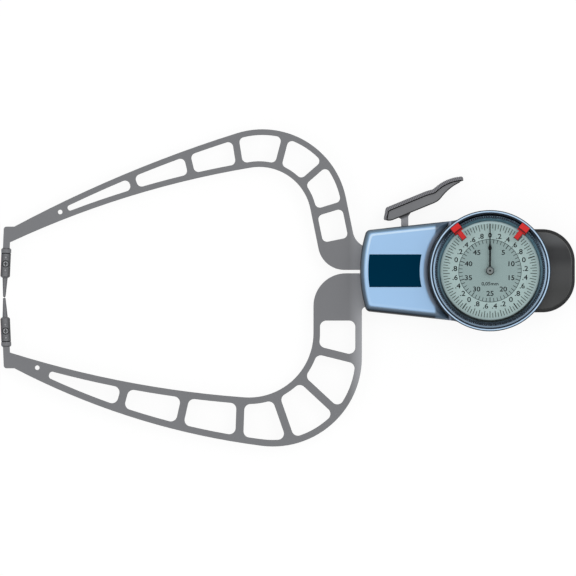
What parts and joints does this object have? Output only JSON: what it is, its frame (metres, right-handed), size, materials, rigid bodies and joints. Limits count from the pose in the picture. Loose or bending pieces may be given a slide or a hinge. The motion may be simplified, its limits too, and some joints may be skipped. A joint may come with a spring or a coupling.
{
  "type": "external caliper gauge",
  "caption": "External caliper gauge with two truss arms round a deep throat, finger lever, gear train, dial with turning bezel, concentric hands and tolerance markers",
  "frame": {"origin": "where the dial's axis meets the flat back on which the gauge lies", "axes": "+Z out of the dial, +X along the gauge from the contact tips to the palm grip, +Y towards the moving arm and its finger lever"},
  "size_m": [0.2732, 0.1509, 0.034],
  "materials": {
    "arm_grey": "matt anodised grey",
    "housing_blue": "satin light blue paint",
    "housing_slate": "satin slate blue paint",
    "label_navy": "matt navy, bare",
    "cover_grey": "satin grey paint",
    "steel": "turned and brushed",
    "dark_steel": "blackened and turned",
    "tip_steel": "ground",
    "brass": "fine brushed",
    "spring_steel": "blued",
    "grip_black": "fine grained",
    "lever_grey": "fine grained",
    "pad_rubber": "serrated",
    "gasket_rubber": "matt",
    "bezel_blue": "polished and lacquered",
    "flange_navy": "fine ribbed",
    "dial_green": "matt printed",
    "crystal": "clear",
    "marker_red": "smooth",
    "hand_black": "matt black"
  },
  "bodies": {
    "frame": {"housing_body": "housing_slate", "front_cover": "housing_blue", "label_plate": "label_navy", "rear_cover": "cover_grey", "rear_cover_gasket": "gasket_rubber", "rear_cover_screws": "steel", "rear_grip": "grip_black", "grip_screws": "steel", "fixed_arm": "arm_grey", "fixed_arm_clamp": "steel", "fixed_arm_screws": "steel", "fixed_arm_dowels": "steel", "pivot_bridge": "brass", "bridge_screw": "steel", "rear_bush": "brass", "front_bush": "brass", "movement_rear_plate": "brass", "movement_front_plate": "brass", "movement_pillars": "steel", "pillar_screws": "steel", "movement_screws": "steel", "hairspring_stud": "steel", "bezel_seal": "gasket_rubber", "bezel_snap_ring": "spring_steel", "fixed_tip_holder": "dark_steel", "fixed_tip_screw": "steel", "fixed_contact_tip": "tip_steel"},
    "arm": {"moving_arm": "arm_grey", "pivot_shaft": "steel", "pivot_nut": "steel", "sector_gear": "steel", "sector_screws": "steel", "lever_grip": "lever_grey", "lever_pad": "pad_rubber", "lever_pin": "steel", "moving_tip_holder": "dark_steel", "moving_tip_screw": "steel", "moving_contact_tip": "tip_steel", "return_spring": "spring_steel"},
    "intermediate": {"pinion_arbor": "steel", "intermediate_wheel": "brass", "transfer_wheel": "brass", "hairspring": "spring_steel", "hairspring_collet": "brass"},
    "long_pointer": {"centre_arbor": "steel", "long_hand": "hand_black"},
    "short_pointer": {"hand_tube": "brass", "short_hand": "hand_black"},
    "bezel": {"bezel_ring": "bezel_blue", "crystal": "crystal", "crystal_gasket": "gasket_rubber", "dial_flange": "flange_navy", "dial_plate": "dial_green", "dial_retainer": "spring_steel"},
    "left_marker": {"marker_left": "marker_red"},
    "right_marker": {"marker_right": "marker_red"}
  },
  "joints": [
    {"name": "arm_swing", "type": "hinge", "parent": "frame", "child": "arm", "pos_m": [-0.05197, 0.0046, 0.011], "axis": [0, 0, 1], "range_deg": [-15.98, 0], "stiffness_Nm_per_rad": 0.36, "springref_deg": 34.38, "deforming": ["return_spring"]},
    {"name": "intermediate_turn", "type": "hinge", "parent": "frame", "child": "intermediate", "pos_m": [-0.01096, 0.00097, 0.0125], "axis": [0, 0, 1], "range_deg": [-2, 364], "deforming": ["hairspring"]},
    {"name": "long_hand_turn", "type": "hinge", "parent": "frame", "child": "long_pointer", "pos_m": [0, 0, 0.0125], "axis": [0, 0, 1], "range_deg": [-3640, 20]},
    {"name": "short_hand_turn", "type": "hinge", "parent": "frame", "child": "short_pointer", "pos_m": [0, 0, 0.0158], "axis": [0, 0, 1], "range_deg": [-364, 2]},
    {"name": "bezel_turn", "type": "hinge", "parent": "frame", "child": "bezel", "pos_m": [0, 0, 0.0246], "axis": [0, 0, 1], "continuous": true},
    {"name": "left_marker_slide", "type": "hinge", "parent": "bezel", "child": "left_marker", "pos_m": [0, 0, 0.0325], "axis": [0, 0, 1], "range_deg": [-30, 130]},
    {"name": "right_marker_slide", "type": "hinge", "parent": "bezel", "child": "right_marker", "pos_m": [0, 0, 0.0325], "axis": [0, 0, 1], "range_deg": [-130, 30]}
  ],
  "couplings": [
    {"joint": "intermediate_turn", "follows": "arm_swing", "ratio": -22.525},
    {"joint": "long_hand_turn", "follows": "arm_swing", "ratio": 225.25},
    {"joint": "short_hand_turn", "follows": "arm_swing", "ratio": 22.525}
  ]
}
